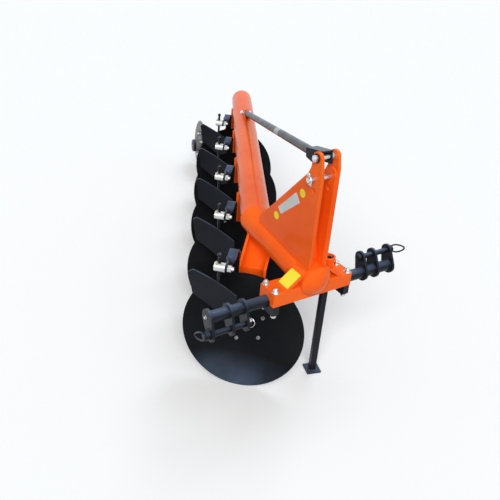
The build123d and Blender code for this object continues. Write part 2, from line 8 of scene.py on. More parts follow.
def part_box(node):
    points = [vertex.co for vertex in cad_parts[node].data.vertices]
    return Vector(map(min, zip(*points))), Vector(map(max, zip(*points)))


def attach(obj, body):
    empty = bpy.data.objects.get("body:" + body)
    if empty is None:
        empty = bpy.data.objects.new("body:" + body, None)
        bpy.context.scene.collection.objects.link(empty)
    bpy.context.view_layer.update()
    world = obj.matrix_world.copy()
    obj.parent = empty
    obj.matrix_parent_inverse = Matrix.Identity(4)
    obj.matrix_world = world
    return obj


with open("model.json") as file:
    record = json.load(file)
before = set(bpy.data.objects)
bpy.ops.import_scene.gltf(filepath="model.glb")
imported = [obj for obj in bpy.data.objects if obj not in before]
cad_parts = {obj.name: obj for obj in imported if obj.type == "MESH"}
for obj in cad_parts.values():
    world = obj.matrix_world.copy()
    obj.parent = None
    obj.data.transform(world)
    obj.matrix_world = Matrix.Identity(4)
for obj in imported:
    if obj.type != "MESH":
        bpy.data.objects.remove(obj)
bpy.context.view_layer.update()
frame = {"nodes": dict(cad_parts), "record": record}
nodes = frame["nodes"]

# The drawing frame: millimetres, X to the plough's left, Y to the rear, Z up, with its origin on the
# floor under the middle of the cross shaft. Everything below is placed in it.
SHAFT_Z = 635.0
shaft_low, shaft_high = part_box("cross_shaft")
ORIGIN = (shaft_low + shaft_high) / 2 - Vector((0, 0, SHAFT_Z / 1000))
WORLD = Matrix.Translation(ORIGIN) @ Matrix.Scale(0.001, 4)

# the camera of the photograph, in the same frame
YAW, PITCH, ROLL = math.radians(33.60), math.radians(29.87), math.radians(4.51)
FOCAL_PX = 589.2
FRAME_PX = 500.0
EYE = Vector((-1610.15, -1892.69, 2249.66))

# sizes that the pieces share with the solids they sit on
SHAFT_R, SHAFT_HALF = 30.0, 559.0
BAR_TOP, CLAMP_LOW = 702.0, 572.0
BRACE_HEAD, BRACE_FOOT = (62, 786), (168, 702)      # (x, z) of the sloping plate
BRACE_FRONT, BRACE_REAR = -60, 24
PLATES, PLATE_T = (366.0, 446.0, 552.0), 13.0       # middles of the hitch plates, and their thickness
PIN_SIDE, PIN_RISE = 29.0, 77.0
TUBE_R, TUBE_REAR = 84.15, 2310
TUBE_FRONT, TUBE_BEND = Vector((0, -64, 719.5)), Vector((0, 498, 794))
LINE_YAW = math.radians(28.71)
REAR_DIR = Vector((math.sin(LINE_YAW), math.cos(LINE_YAW), 0))
ASIDE_DIR = Vector((REAR_DIR.y, -REAR_DIR.x, 0))
TUBE_END = TUBE_BEND + REAR_DIR * TUBE_REAR
FRONT_DIR = (TUBE_FRONT - TUBE_BEND).normalized()
TOWER_OUT, TOWER_FRONT = 53.5, -60                  # the outside of a tower plate, and its front edge
EAR_HOLE, TOP_PIN = (-18.0, 1341.0), (-20.0, 1245.0)    # (y, z)
STAY_ROOT, STAY_REAR, STAY_R = Vector((0, 76, 1327)), Vector((753.5, 1873.9, 906)), 21.0
STAY_ACROSS = Vector((STAY_REAR.y - STAY_ROOT.y, STAY_ROOT.x - STAY_REAR.x, 0)).normalized()
LUG_OUT = 22.3
DISC_COUNT = 5
DISC_YAW, DISC_TILT = math.radians(44.2), math.radians(9.8)
FIRST_DISC, DISC_PITCH, DISC_Z = (-239.0, 185.0), 568.4, 325.0
SPHERE_R, SPHERE_Z, DISC_BOLT_R = 620.66, 525.66, 104.0
SHIN_R, SHIN_Y, KNEE_Z, HEAD = 76.0, 140.0, 632.0, Vector((0, 400, 760))
HOUSE_R = 60.0
LEG_X, LEG_Y, LEG_SIDE, LEG_TURN, FOOT_T = 172.0, 56.0, 35.0, math.radians(-16), 8.0
SOCKET_R = 31.0
ROD_X, ROD_Y, CLAMP_Z = -136.0, -22.0, 708.0
DARK_PINS = ("lower_pin_left", "lower_pin_right")      # painted, as the photograph shows them

# the studio: the sky's light and its colour, the floor's half width, its shade for the object's light
# and as the camera sees it
WORLD_LIGHT, WORLD_COLOUR = 0.36, (0.92, 0.96, 1.0)
FLOOR_HALF, FLOOR_SHADE, FLOOR_SEEN = 60.0, 0.35, 0.99
# each sun: strength, angular size in degrees, where it shines from, colour
SUNS = {"sun": (2.6, 40, (-0.7, -1.0, 0.95), (1.0, 0.985, 0.96)),
        "sky_glow": (0.62, 26, (0.48, 0.23, 0.84), (0.78, 0.89, 1.0))}

HERE = Matrix.Identity(4)
SUNK = 0.2                  # how far a washer goes into what it lies on


def axes(origin, z_dir=(0, 0, 1), x_dir=(1, 0, 0)):
    """A frame at origin with its Z along z_dir and its X as near x_dir as it can be."""
    z = Vector(z_dir).normalized()
    x = Vector(x_dir) - z * z.dot(Vector(x_dir))
    if x.length < 1e-6:
        x = Vector((0, 1, 0)) - z * z.y
    x.normalize()
    y = z.cross(x)
    o = Vector(origin)
    return Matrix(((x.x, y.x, z.x, o.x), (x.y, y.y, z.y, o.y), (x.z, y.z, z.z, o.z), (0, 0, 0, 1)))


def turns(steps):
    """The angles of equal steps round a circle."""
    return [2 * math.pi * i / steps for i in range(steps)]


def unit(k):
    """Frame of disc unit k: X along the face, Y to its rear, on the floor under the disc."""
    step = REAR_DIR * (DISC_PITCH * k)
    return axes((FIRST_DISC[0] + step.x, FIRST_DISC[1] + step.y, 0),
                x_dir=(math.cos(DISC_YAW), -math.sin(DISC_YAW), 0))


def face(k):
    """Frame of disc k: Z along the hub to the front, the origin in the rim's plane."""
    return unit(k) @ axes((0, 0, DISC_Z), (0, -math.cos(DISC_TILT), math.sin(DISC_TILT)))


# ---- materials


class Paint:
    """A node material. The texture space is the drawing frame's own metres, so it moves with its piece."""

    def __init__(self, name):
        self.mat = bpy.data.materials.new(name)
        self.mat.use_nodes = True
        self.tree = self.mat.node_tree
        self.tree.nodes.clear()
        out = self.node("ShaderNodeOutputMaterial")
        self.bsdf = self.node("ShaderNodeBsdfPrincipled")
        self.link(self.bsdf.outputs[0], out.inputs["Surface"])
        self.coord = self.node("ShaderNodeTexCoord").outputs["Object"]

    def node(self, kind, **values):
        n = self.tree.nodes.new(kind)
        for key, value in values.items():
            setattr(n, key, value)
        return n

    def link(self, a, b):
        self.tree.links.new(a, b)

    def fixed(self, **values):
        for key, value in values.items():
            self.bsdf.inputs[key.replace("_", " ")].default_value = value

    def noise(self, scale, detail=4.0, rough=0.55, stretch=None):
        n = self.node("ShaderNodeTexNoise")
        for key, value in (("Scale", scale), ("Detail", detail), ("Roughness", rough)):
            n.inputs[key].default_value = value
        source = self.coord
        if stretch:
            m = self.node("ShaderNodeMapping")
            m.inputs["Scale"].default_value = stretch
            self.link(self.coord, m.inputs["Vector"])
            source = m.outputs[0]
        self.link(source, n.inputs["Vector"])
        return n.outputs["Fac"]

    def ramp(self, source, stops):
        r = self.node("ShaderNodeValToRGB")
        while len(r.color_ramp.elements) < len(stops):
            r.color_ramp.elements.new(0.5)
        for e, (pos, colour) in zip(r.color_ramp.elements, stops):
            e.position = pos
            e.color = (*colour, 1)
        self.link(source, r.inputs["Fac"])
        return r.outputs["Color"]

    def spread(self, source, low, high, start=0.3, end=0.7):
        m = self.node("ShaderNodeMapRange")
        for key, value in (("From Min", start), ("From Max", end), ("To Min", low), ("To Max", high)):
            m.inputs[key].default_value = value
        self.link(source, m.inputs["Value"])
        return m.outputs["Result"]

    def math(self, operation, a, b):
        m = self.node("ShaderNodeMath", operation=operation)
        for i, value in enumerate((a, b)):
            if isinstance(value, (int, float)):
                m.inputs[i].default_value = value
            else:
                self.link(value, m.inputs[i])
        return m.outputs[0]

    def mix(self, factor, a, b):
        m = self.node("ShaderNodeMix", data_type="RGBA")
        for i, value in ((0, factor), (6, a), (7, b)):
            if isinstance(value, tuple):
                m.inputs[i].default_value = (*value, 1)
            else:
                self.link(value, m.inputs[i])
        return m.outputs[2]

    def rounding(self, radius):
        """Rounded edges for the light, and how near an edge a point is."""
        b = self.node("ShaderNodeBevel", samples=4)
        b.inputs["Radius"].default_value = radius
        g = self.node("ShaderNodeNewGeometry")
        d = self.node("ShaderNodeVectorMath", operation="DOT_PRODUCT")
        self.link(b.outputs[0], d.inputs[0])
        self.link(g.outputs["Normal"], d.inputs[1])
        return b.outputs[0], self.spread(d.outputs["Value"], 1.0, 0.0, 0.80, 0.985)

    def relief(self, normal, *layers):
        """Bumps, one on another: each layer is (height source, depth in metres, strength)."""
        for source, depth, strength in layers:
            b = self.node("ShaderNodeBump")
            b.inputs["Distance"].default_value = depth
            b.inputs["Strength"].default_value = strength
            self.link(source, b.inputs["Height"])
            self.link(normal, b.inputs["Normal"])
            normal = b.outputs[0]
        self.link(normal, self.bsdf.inputs["Normal"])


def gloss_paint(name, dark, base, light, chipped, rough, edge=0.0016, painted_sheen=None, **fixed):
    """Sprayed paint: slow changes of tone, orange peel, thin and dull at the edges.

    The optional sheen is painted light: a bluish sky reflection laid into the colour of faces that look up,
    given as its colour and how far up a face looks where it starts and is whole."""
    p = Paint(name)
    colour = p.ramp(p.noise(2.6, 5.0, 0.6), [(0.32, dark), (0.5, base), (0.7, light)])
    normal, near = p.rounding(edge)
    patchy = p.spread(p.noise(70.0, 4.0, 0.6), 0.0, 1.0, 0.42, 0.62)
    colour = p.mix(p.math("MULTIPLY", p.math("MULTIPLY", near, patchy), 0.55), colour, chipped)
    # painted sheen: the sky's reflection, painted lighter and bluer onto faces that look up, in patches
    if painted_sheen:
        sheen_colour, low, high = painted_sheen
        xyz = p.node("ShaderNodeSeparateXYZ")
        p.link(p.node("ShaderNodeNewGeometry").outputs["Normal"], xyz.inputs[0])
        cloud = p.spread(p.noise(5.0, 4.0, 0.55), 0.45, 1.0, 0.38, 0.62)
        colour = p.mix(p.math("MULTIPLY", p.spread(xyz.outputs["Z"], 0.0, 1.0, low, high), cloud),
                       colour, sheen_colour)
    p.link(colour, p.bsdf.inputs["Base Color"])
    smear = p.spread(p.noise(9.0, 6.0, 0.65, (1, 1, 0.35)), rough - 0.05, rough + 0.09)
    p.link(p.math("ADD", smear, p.math("MULTIPLY", near, 0.08)), p.bsdf.inputs["Roughness"])
    p.relief(normal, (p.noise(260.0, 2.0, 0.4), 0.00012, 0.35), (p.noise(34.0, 3.0, 0.5), 0.0005, 0.10))
    p.fixed(**fixed)
    return p.mat


def plated(name, base, tint, rough, scale=30.0):
    """Zinc plating: cloudy, with a faint tint in it."""
    p = Paint(name)
    cloud = p.spread(p.noise(scale, 5.0, 0.6), 0.0, 1.0, 0.40, 0.68)
    p.link(p.mix(cloud, base, tint), p.bsdf.inputs["Base Color"])
    p.link(p.spread(p.noise(scale * 3, 4.0), rough - 0.08, rough + 0.12), p.bsdf.inputs["Roughness"])
    normal, _ = p.rounding(0.0008)
    p.relief(normal, (p.noise(420.0, 3.0), 0.0002, 0.35))
    p.fixed(Metallic=0.88)
    return p.mat


ORANGE_LIGHT = (1.0, 0.23, 0.035)
SKY_TINT = (0.55, 0.72, 1.0, 1.0)
orange = gloss_paint("orange_paint", (0.90, 0.108, 0.006), (0.97, 0.132, 0.009), (1.0, 0.165, 0.014),
                     ORANGE_LIGHT, 0.20, Coat_Weight=0.06, Coat_Roughness=0.08, Specular_IOR_Level=0.10)
orange_weld = gloss_paint("orange_weld", (0.76, 0.095, 0.007), (0.86, 0.125, 0.010), (0.93, 0.16, 0.015),
                          ORANGE_LIGHT, 0.30, Specular_IOR_Level=0.12)
# the black paint's last colour tuple is a painted bluish sky sheen on faces that look up
black = gloss_paint("black_paint", (0.007, 0.007, 0.008), (0.010, 0.010, 0.011), (0.015, 0.015, 0.017),
                    (0.05, 0.052, 0.058), 0.28, painted_sheen=((0.078, 0.110, 0.182), 0.42, 1.0),
                    Specular_IOR_Level=0.20, Specular_Tint=SKY_TINT)
# the disc paint likewise gets a painted bluish sky sheen on faces that look up
disc_black = gloss_paint("disc_paint", (0.006, 0.006, 0.0065), (0.008, 0.008, 0.0085),
                         (0.012, 0.012, 0.013), (0.025, 0.025, 0.027), 0.26,
                         painted_sheen=((0.066, 0.092, 0.146), 0.42, 0.80),
                         Specular_IOR_Level=0.07, Specular_Tint=SKY_TINT)
zinc = plated("zinc_plating", (0.66, 0.69, 0.73), (0.52, 0.51, 0.45), 0.24)
gold_zinc = plated("yellow_passivate", (0.66, 0.58, 0.30), (0.55, 0.44, 0.18), 0.28)
wheel_steel = gloss_paint("wheel_steel", (0.10, 0.092, 0.085), (0.135, 0.125, 0.115), (0.19, 0.18, 0.165),
                          (0.32, 0.31, 0.29), 0.30, Specular_IOR_Level=0.25)
yellow_film = gloss_paint("yellow_film", (0.86, 0.74, 0.035), (0.92, 0.80, 0.045), (0.95, 0.85, 0.08),
                          (0.80, 0.66, 0.04), 0.34, 0.0003, Specular_IOR_Level=0.1)
grey_film = plated("plate_grey", (0.52, 0.53, 0.52), (0.46, 0.47, 0.45), 0.36, 12.0)
pale_film = gloss_paint("pale_film", (0.42, 0.43, 0.44), (0.50, 0.51, 0.52), (0.58, 0.59, 0.60),
                        (0.36, 0.36, 0.37), 0.42, 0.0003, Specular_IOR_Level=0.25)
bolt_steel = plated("bolt_steel", (0.26, 0.25, 0.235), (0.15, 0.145, 0.14), 0.34, 60.0)
rubber = gloss_paint("black_rubber", (0.010, 0.010, 0.010), (0.014, 0.014, 0.014), (0.02, 0.02, 0.02),
                     (0.04, 0.04, 0.04), 0.62, Specular_IOR_Level=0.15)

SLOTS = {"paint_orange": orange, "paint_black": black, "disc_black": disc_black, "zinc": zinc,
         "wheel_steel": wheel_steel}
for entry in frame["record"]["subparts"]:
    mesh = nodes[entry["node"]].data
    mesh.materials.clear()
    mesh.materials.append(black if entry["node"] in DARK_PINS else SLOTS[entry["material_slot"]])

# ---- shapes


class Shape:
    """A mesh in millimetres of the given frame, built from rings of points."""

    def __init__(self, where=None):
        self.bm = bmesh.new()
        self.where = WORLD @ (where or Matrix.Identity(4))

    def rings(self, at, rings, closed=False):
        """Joins rings of points. The ends are capped, or the last ring meets the first."""
        rows = []
        for ring in rings:
            rows.append([self.bm.verts.new(self.where @ (at @ Vector(p))) for p in ring])
        pairs = list(zip(rows, rows[1:])) + ([(rows[-1], rows[0])] if closed else [])
        for a, b in pairs:
            n = max(len(a), len(b))
            for i in range(n):
                j = (i + 1) % n
                if len(a) == 1:
                    self.bm.faces.new((a[0], b[i], b[j]))
                elif len(b) == 1:
                    self.bm.faces.new((a[j], a[i], b[0]))
                else:
                    self.bm.faces.new((a[j], a[i], b[i], b[j]))
        if not closed:
            if len(rows[0]) > 2:
                self.bm.faces.new(rows[0])
            if len(rows[-1]) > 2:
                self.bm.faces.new(rows[-1][::-1])

    def lathe(self, at, profile, steps=28):
        """Revolves (radius, height) points about Z."""
        self.rings(at, [[(0, 0, z)] if r == 0 else
                        [(r * math.cos(t), r * math.sin(t), z) for t in turns(steps)]
                        for r, z in profile])

    def tube(self, at, outer, inner, low, high, steps=32, edge=0.8):
        """A washer or collar."""
        profile = [(inner, low), (outer - edge, low), (outer, low + edge), (outer, high - edge),
                   (outer - edge, high), (inner, high)]
        self.rings(at, [[(r * math.cos(t), r * math.sin(t), z) for t in turns(steps)]
                        for r, z in profile], closed=True)

    def hexagon(self, at, across, low, high, both=True):
        """A nut or bolt head with the arcs that its chamfer cuts on its flats, at both ends or on top."""
        rings = []
        half = across / 2
        flat = half * 0.96
        angles = [math.radians(10 * i) for i in range(36)]
        reach = [half / math.cos(math.radians((10 * i + 30) % 60 - 30)) for i in range(36)]
        slope = 0.55
        if both:
            rings.append([(flat * math.cos(a), flat * math.sin(a), low) for a in angles])
            rings.append([(r * math.cos(a), r * math.sin(a), low + (r - flat) * slope)
                          for a, r in zip(angles, reach)])
        else:
            rings.append([(r * math.cos(a), r * math.sin(a), low) for a, r in zip(angles, reach)])
        rings.append([(r * math.cos(a), r * math.sin(a), high - (r - flat) * slope)
                      for a, r in zip(angles, reach)])
        rings.append([(flat * math.cos(a), flat * math.sin(a), high) for a in angles])
        self.rings(at, rings)

    def nut(self, at, washer, across, top, sunk=SUNK, both=True):
        """A washer, given as (radius, hole, thickness), and a nut or bolt head on it."""
        radius, hole, thick = washer
        self.tube(at, radius, hole, -sunk, thick)
        self.hexagon(at, across, thick, top, both)

    def thread(self, at, radius, low, high, pitch=2.0):
        """The end of a bolt, with its thread's ridges."""
        profile = [(0, low), (radius * 0.9, low)]
        z = low
        while z + pitch < high - 1.5:
            profile += [(radius, z + pitch * 0.5), (radius * 0.9, z + pitch)]
            z += pitch
        profile += [(radius * 0.9, high - 1.2), (radius * 0.72, high), (0, high)]
        self.lathe(at, profile, 20)

    def sweep(self, at, path, radius, steps=10, closed=False):
        """A round bar along a path. radius is a number or one for each point."""
        path = [Vector(p) for p in path]
        n = len(path)
        radii = radius if isinstance(radius, list) else [radius] * n
        side = None
        rings = []
        for i, p in enumerate(path):
            before = path[i - 1] if i or closed else p
            after = path[(i + 1) % n] if i < n - 1 or closed else p
            along = (after - before).normalized()
            if side is None:
                side = along.orthogonal().normalized()
            side = (side - along * side.dot(along)).normalized()
            other = along.cross(side)
            rings.append([p + (side * math.cos(t) + other * math.sin(t)) * radii[i]
                          for t in turns(steps)])
        self.rings(at, rings, closed)

    def weld(self, at, path, radius, closed=False):
        """A weld bead: a low ridge with the ripples of its passes."""
        path = [Vector(p) for p in path] + ([Vector(path[0])] if closed else [])
        lengths = [(b - a).length for a, b in zip(path, path[1:])]
        total = sum(lengths)
        count = max(8, int(total / 2.6))
        points, i, done = [], 0, 0.0
        for j in range(count + (0 if closed else 1)):
            s = total * j / count
            while i < len(lengths) - 1 and s > done + lengths[i]:
                done += lengths[i]
                i += 1
            points.append(path[i].lerp(path[i + 1], min(1.0, (s - done) / lengths[i])))
        ripple = []
        for j in range(len(points)):
            s = total * j / count
            ripple.append(radius * (0.92 + 0.10 * math.sin(s * 1.15) + 0.06 * math.sin(s * 0.31 + 1.3)))
        self.sweep(at, points, ripple, 8, closed)

    def slab(self, at, outline, thick, edge=0.4):
        """A thin plate with a bevelled rim."""
        n = len(outline)
        turn = sum(a[0] * b[1] - a[1] * b[0] for a, b in zip(outline, outline[1:] + outline[:1]))
        if turn < 0:
            outline = outline[::-1]
        inner = []
        for i in range(n):
            a, b, c = (Vector(outline[j % n]) for j in (i - 1, i, i + 1))
            into, out = (b - a).normalized(), (c - b).normalized()
            along = (into + out).normalized()
            inner.append((b.x - along.y * edge, b.y + along.x * edge))
        self.rings(at, [[(x, y, 0) for x, y in outline], [(x, y, thick - edge) for x, y in outline],
                        [(x, y, thick) for x, y in inner]])

    def add(self, name, mat, body, slot=None, sharp=32):
        mesh = bpy.data.meshes.new(name)
        bmesh.ops.recalc_face_normals(self.bm, faces=self.bm.faces)
        self.bm.to_mesh(mesh)
        self.bm.free()
        mesh.materials.append(mat)
        for polygon in mesh.polygons:
            polygon.use_smooth = True
        mesh.set_sharp_from_angle(angle=math.radians(sharp))
        piece = bpy.data.objects.new(name, mesh)
        bpy.context.scene.collection.objects.link(piece)
        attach(piece, body)
        return piece


def rectangle(x, y, radius, steps=5):
    """A rectangle's outline with round corners, anticlockwise."""
    points = []
    for cx, cy, start in ((x[1] - radius, y[0] + radius, -90), (x[1] - radius, y[1] - radius, 0),
                          (x[0] + radius, y[1] - radius, 90), (x[0] + radius, y[0] + radius, 180)):
        for i in range(steps + 1):
            t = math.radians(start + 90 * i / steps)
            points.append((cx + radius * math.cos(t), cy + radius * math.sin(t)))
    return points


def rounded(corners, radius, steps=4):
    """A polygon with its corners rounded."""
    points = []
    for i, corner in enumerate(corners):
        b = Vector(corner)
        a, c = Vector(corners[i - 1]), Vector(corners[(i + 1) % len(corners)])
        start, end = b + (a - b).normalized() * radius, b + (c - b).normalized() * radius
        for j in range(steps + 1):
            t = j / steps
            p = start.lerp(b, t).lerp(b.lerp(end, t), t)
            points.append((p.x, p.y))
    return points


def circle(radius, steps=48, centre=(0, 0)):
    return [(centre[0] + radius * math.cos(t), centre[1] + radius * math.sin(t)) for t in turns(steps)]


def ring_path(radius, steps=48):
    return [(x, y, 0.0) for x, y in circle(radius, steps)]


def bolt_circle(radius, count, start):
    """The x and y of bolts spaced evenly round Z, the first at start degrees."""
    angles = [math.radians(start + 360 / count * i) for i in range(count)]
    return [(radius * math.cos(t), radius * math.sin(t)) for t in angles]


def tube_hit(point, direction):
    """Where a line from point first meets the beam, or None."""
    best = None
    for start, end in ((TUBE_FRONT, TUBE_BEND), (TUBE_BEND, TUBE_END)):
        axis = (end - start).normalized()
        d = Vector(direction) - axis * axis.dot(Vector(direction))
        w = Vector(point) - start
        w = w - axis * axis.dot(w)
        a, b, c = d.dot(d), 2 * d.dot(w), w.dot(w) - TUBE_R * TUBE_R
        if a < 1e-9 or b * b < 4 * a * c:
            continue
        t = (-b - math.sqrt(b * b - 4 * a * c)) / (2 * a)
        hit = Vector(point) + Vector(direction) * t
        along = (hit - start).dot(axis)
        if t > 0 and -1 <= along <= (end - start).length + 1 and (best is None or t < best[0]):
            best = (t, hit)
    return best[1] if best else None


# ---- bolts of the shaft clamps
CLAMP_BOLT_X, CLAMP_BOLT_Y, CLAMP_BOLT_R, CLAMP_FLATS = 217.0, 43.0, 8.0, 24.0
bolts = Shape()
for x in (-CLAMP_BOLT_X, CLAMP_BOLT_X):
    for y in (-CLAMP_BOLT_Y, CLAMP_BOLT_Y):
        top, under = axes((x, y, BAR_TOP)), axes((x, y, CLAMP_LOW), (0, 0, -1))
        bolts.nut(top, (19.0, CLAMP_BOLT_R, 3.0), CLAMP_FLATS, 16.0)
        bolts.thread(top, CLAMP_BOLT_R, 15.0, 24.0)
        bolts.nut(under, (15.0, CLAMP_BOLT_R, 3.0), CLAMP_FLATS, 13.0)
bolts.add("bar_bolts", zinc, "plough_frame", "zinc")

# ---- nuts on the stay's pins, and the screw in the shaft's right end
STAY_FLATS, SCREW_Y = 30.0, 8.0
EAR_PIN_END = [(0, 16.0), (11.5, 16.0), (10.5, 20.0), (5.0, 22.0), (0, 22.5)]
REAR_PIN_END = [(0, 14.0), (9.5, 14.0), (8.5, 18.0), (0, 18.5)]
nuts, seals = Shape(), Shape()
for side in (-1, 1):
    at = axes((side * TOWER_OUT, *EAR_HOLE), (side, 0, 0), (0, 0.3, 1))
    seals.tube(at, 22.0, 12.5, -SUNK, 3.0)
    nuts.hexagon(at, STAY_FLATS, 3.0, 17.0)
    nuts.lathe(at, EAR_PIN_END)
    at = axes(STAY_REAR + STAY_ACROSS * (side * LUG_OUT), STAY_ACROSS * side)
    nuts.nut(at, (18.0, 10.5, 3.0), STAY_FLATS, 15.0)
    nuts.lathe(at, REAR_PIN_END)
screw_at = axes((-SHAFT_HALF, SCREW_Y, SHAFT_Z), (-1, 0, 0))
nuts.nut(screw_at, (9.0, 4.0, 1.6), 13.0, 8.0, both=False)
nuts.add("stay_nuts", zinc, "plough_frame", "zinc")
seals.add("ear_washers", rubber, "plough_frame", "paint_black")

# ---- lynch pins and pull loops of the hitch pins
LYNCH_PIN = [(0, -30), (9, -30), (10, -28.5), (10, -20), (9, -18.5), (4.6, -18), (4.6, 25), (3, 29),
             (0, 30)]
LYNCH_RING_R, LYNCH_WIRE_R = 23.0, 2.2
LOOP_X, LOOP_PAST, LOOP_HALF, LOOP_TAPER, LOOP_WIRE_R = 584.2, 4, 19, 0.25, 4.2
RING_STEPS = 44
lynch, loops = Shape(), Shape()
# each lynch pin: its x and its ring's, its hole's y and z, its lean and the way its ring faces
for x, ring_x, y, z, lean, ring_way in (
        (-80.0, -84.0, *TOP_PIN, 0.42, (1, -0.22, 0.12)),
        (-344.0, -339.0, -PIN_SIDE, SHAFT_Z - PIN_RISE, -0.35, (0.8, 0.55, -0.25))):
    lynch.lathe(axes((x, y, z), (0, -math.sin(lean), -math.cos(lean)), (1, 0, 0)), LYNCH_PIN)
    lynch.sweep(axes((ring_x, y, z), ring_way, (0, 0, 1)), ring_path(LYNCH_RING_R, RING_STEPS),
                LYNCH_WIRE_R, 8, True)
# each loop: its side, and how far its middle lies from the pin's along Y and Z
for side, across, drop in ((1, -42.0, 24.0), (-1, 44.0, -26.0)):
    at = axes((side * LOOP_X, side * PIN_SIDE + across, SHAFT_Z + side * PIN_RISE + drop), (1, 0, 0),
              (0, across, drop))
    reach = math.hypot(across, drop) + LOOP_PAST
    loops.sweep(at, [(reach * math.cos(t), LOOP_HALF * math.sin(t) * (1 - LOOP_TAPER * math.cos(t)), 0)
                     for t in turns(RING_STEPS)], LOOP_WIRE_R, 10, True)
lynch.add("lynch_pins", zinc, "plough_frame", "zinc")
loops.add("pin_loops", black, "plough_frame", "paint_black")

# ---- bolts of the discs
DISC_BOLTS, DISC_BOLT_START, DISC_GRIP = 5, 30, 20.3     # the grip is from nut to nut
bolt_z = SPHERE_Z - math.sqrt(SPHERE_R ** 2 - DISC_BOLT_R ** 2)
for k in range(DISC_COUNT):
    heads = Shape(face(k))
    for x, y in bolt_circle(DISC_BOLT_R, DISC_BOLTS, DISC_BOLT_START):
        spot = Vector((x, y, bolt_z))
        into = (Vector((0, 0, SPHERE_Z)) - spot).normalized()
        front, back = axes(spot, into), axes(spot - into * DISC_GRIP, -into)
        heads.nut(front, (11.5, 5.0, 1.6), 17.0, 9.0, sunk=0.3)
        heads.thread(front, 5.2, 8.5, 14.0, 1.5)
        heads.nut(back, (12.5, 6.4, 2.0), 19.0, 10.0, sunk=0.0)
        heads.lathe(back, [(5.6, 9.5), (5.6, 11.6), (4.6, 12.8), (0, 12.8)], 16)
    heads.add("disc_bolts_%d" % (k + 1), bolt_steel, "disc_%d_body" % (k + 1), "zinc")

# ---- grease nipples of the bearing housings and set screws of the scraper clamps
NIPPLE_TURN, NIPPLE_Z = math.radians(150), -165
NIPPLE_TIP = [(3.2, 3.6), (2.4, 6.0), (3.3, 8.0), (3.0, 9.8), (1.6, 11.0), (0, 11.2)]
SET_SCREW_AT, SET_SCREW_WAY = (ROD_X - 13.0, ROD_Y - 12.0, CLAMP_Z + 19.0), (0.22, -0.25, 1)
nipples, screws = Shape(), Shape()


def nipple(shape, at):
    shape.hexagon(at, 9.0, -0.3, 4.0, both=False)
    shape.lathe(at, NIPPLE_TIP, 16)


out = Vector((math.cos(NIPPLE_TURN), math.sin(NIPPLE_TURN), 0))
for k in range(DISC_COUNT):
    nipple(nipples, face(k) @ axes(out * HOUSE_R + Vector((0, 0, NIPPLE_Z)), out, (0, 0, 1)))
    at = unit(k) @ axes(SET_SCREW_AT, SET_SCREW_WAY, (1, 0, 0))
    screws.hexagon(at, 10.0, -1.5, 5.0)
    screws.thread(at, 3.6, 4.5, 24.0, 1.25)
nipples.add("grease_nipples", gold_zinc, "plough_frame", "zinc")
screws.add("set_screws", gold_zinc, "plough_frame", "zinc")

# ---- furrow wheel: flange ring, bolts and cap
WHEEL_BOLTS, WHEEL_BOLT_START, WHEEL_BOLT_R = 5, 18, 112
FLANGE_R, FLANGE_HOLE, FLANGE_LOW, FLANGE_TOP, CAP_TOP = 140.0, 58.0, 5.8, 12.0, 81.0
WHEEL_CAP = [(57.6, 56), (58.2, 57), (58.2, 72), (54.0, 77), (30.0, 80), (12.0, CAP_TOP), (0, CAP_TOP)]
spin = next(j for j in frame["record"]["behaviour"]["joints"] if j["name"] == "furrow_wheel_spin")
wheel_at = axes((Vector(spin["pos_m"]) - ORIGIN) * 1000, -Vector(spin["axis"]), (0, 0, 1))
flange, wheel_bolts = Shape(wheel_at), Shape(wheel_at)
flange.tube(HERE, FLANGE_R, FLANGE_HOLE, FLANGE_LOW, FLANGE_TOP, 64, 2.0)
flange.lathe(HERE, WHEEL_CAP, 48)
for x, y in bolt_circle(WHEEL_BOLT_R, WHEEL_BOLTS, WHEEL_BOLT_START):
    at = axes((x, y, FLANGE_TOP))
    wheel_bolts.nut(at, (15.0, 7.5, 2.6), 21.0, 13.0)
    wheel_bolts.thread(at, 7.0, 12.0, 20.0)
nipple(wheel_bolts, axes((0, 0, CAP_TOP)))
flange.add("wheel_flange", black, "furrow_wheel_body", "paint_black")
wheel_bolts.add("wheel_bolts", zinc, "furrow_wheel_body", "zinc")

# ---- plate and stickers, all blank. On the tower's face X is the frame's Y, and Y is the frame's -Z.
PLATE_CORNERS, PLATE_THICK = [(232, -997), (99, -1132), (63, -1091), (201, -971)], 0.9
RIVET = [(3.4, 0), (3.2, 0.7), (1.8, 1.4), (0, 1.6)]
STICKER_R, FILM_THICK, FILM_EDGE = 20.5, 0.45, 0.2
LABEL_AT, LABEL_HALF, LABEL_THICK = 0.38, 54.0, 0.35
tower_face = axes((-TOWER_OUT, 0, 0), (-1, 0, 0), (0, 1, 0))
plate, rivets, stickers = Shape(), Shape(tower_face), Shape()
plate.slab(tower_face, rounded(PLATE_CORNERS, 5), PLATE_THICK)
plate.add("blank_plate", grey_film, "plough_frame")
for y, z in ((221, 995), (101, 1119), (75, 1090), (200, 983)):
    rivets.lathe(axes((y, -z, PLATE_THICK - 0.1)), RIVET, 14)
rivets.add("plate_rivets", zinc, "plough_frame", "zinc")
for y, z in ((53, 1145), (238, 947)):
    stickers.slab(tower_face, circle(STICKER_R, 48, (y, -z)), FILM_THICK, FILM_EDGE)
brace_run, brace_fall = BRACE_FOOT[0] - BRACE_HEAD[0], BRACE_HEAD[1] - BRACE_FOOT[1]
brace_face = axes((-BRACE_HEAD[0], 0, BRACE_HEAD[1]), (-brace_fall, 0, brace_run),
                  (-brace_run, 0, -brace_fall))
stickers.slab(brace_face, rectangle((30, 122), (-24, 52), 4), FILM_THICK, FILM_EDGE)
stickers.add("blank_stickers", yellow_film, "plough_frame")
label = Shape(axes(STAY_ROOT.lerp(STAY_REAR, LABEL_AT), STAY_REAR - STAY_ROOT))
label.tube(HERE, STAY_R + LABEL_THICK, STAY_R - 0.4, -LABEL_HALF, LABEL_HALF, 40, 0.1)
label.add("stay_label", pale_film, "plough_frame")

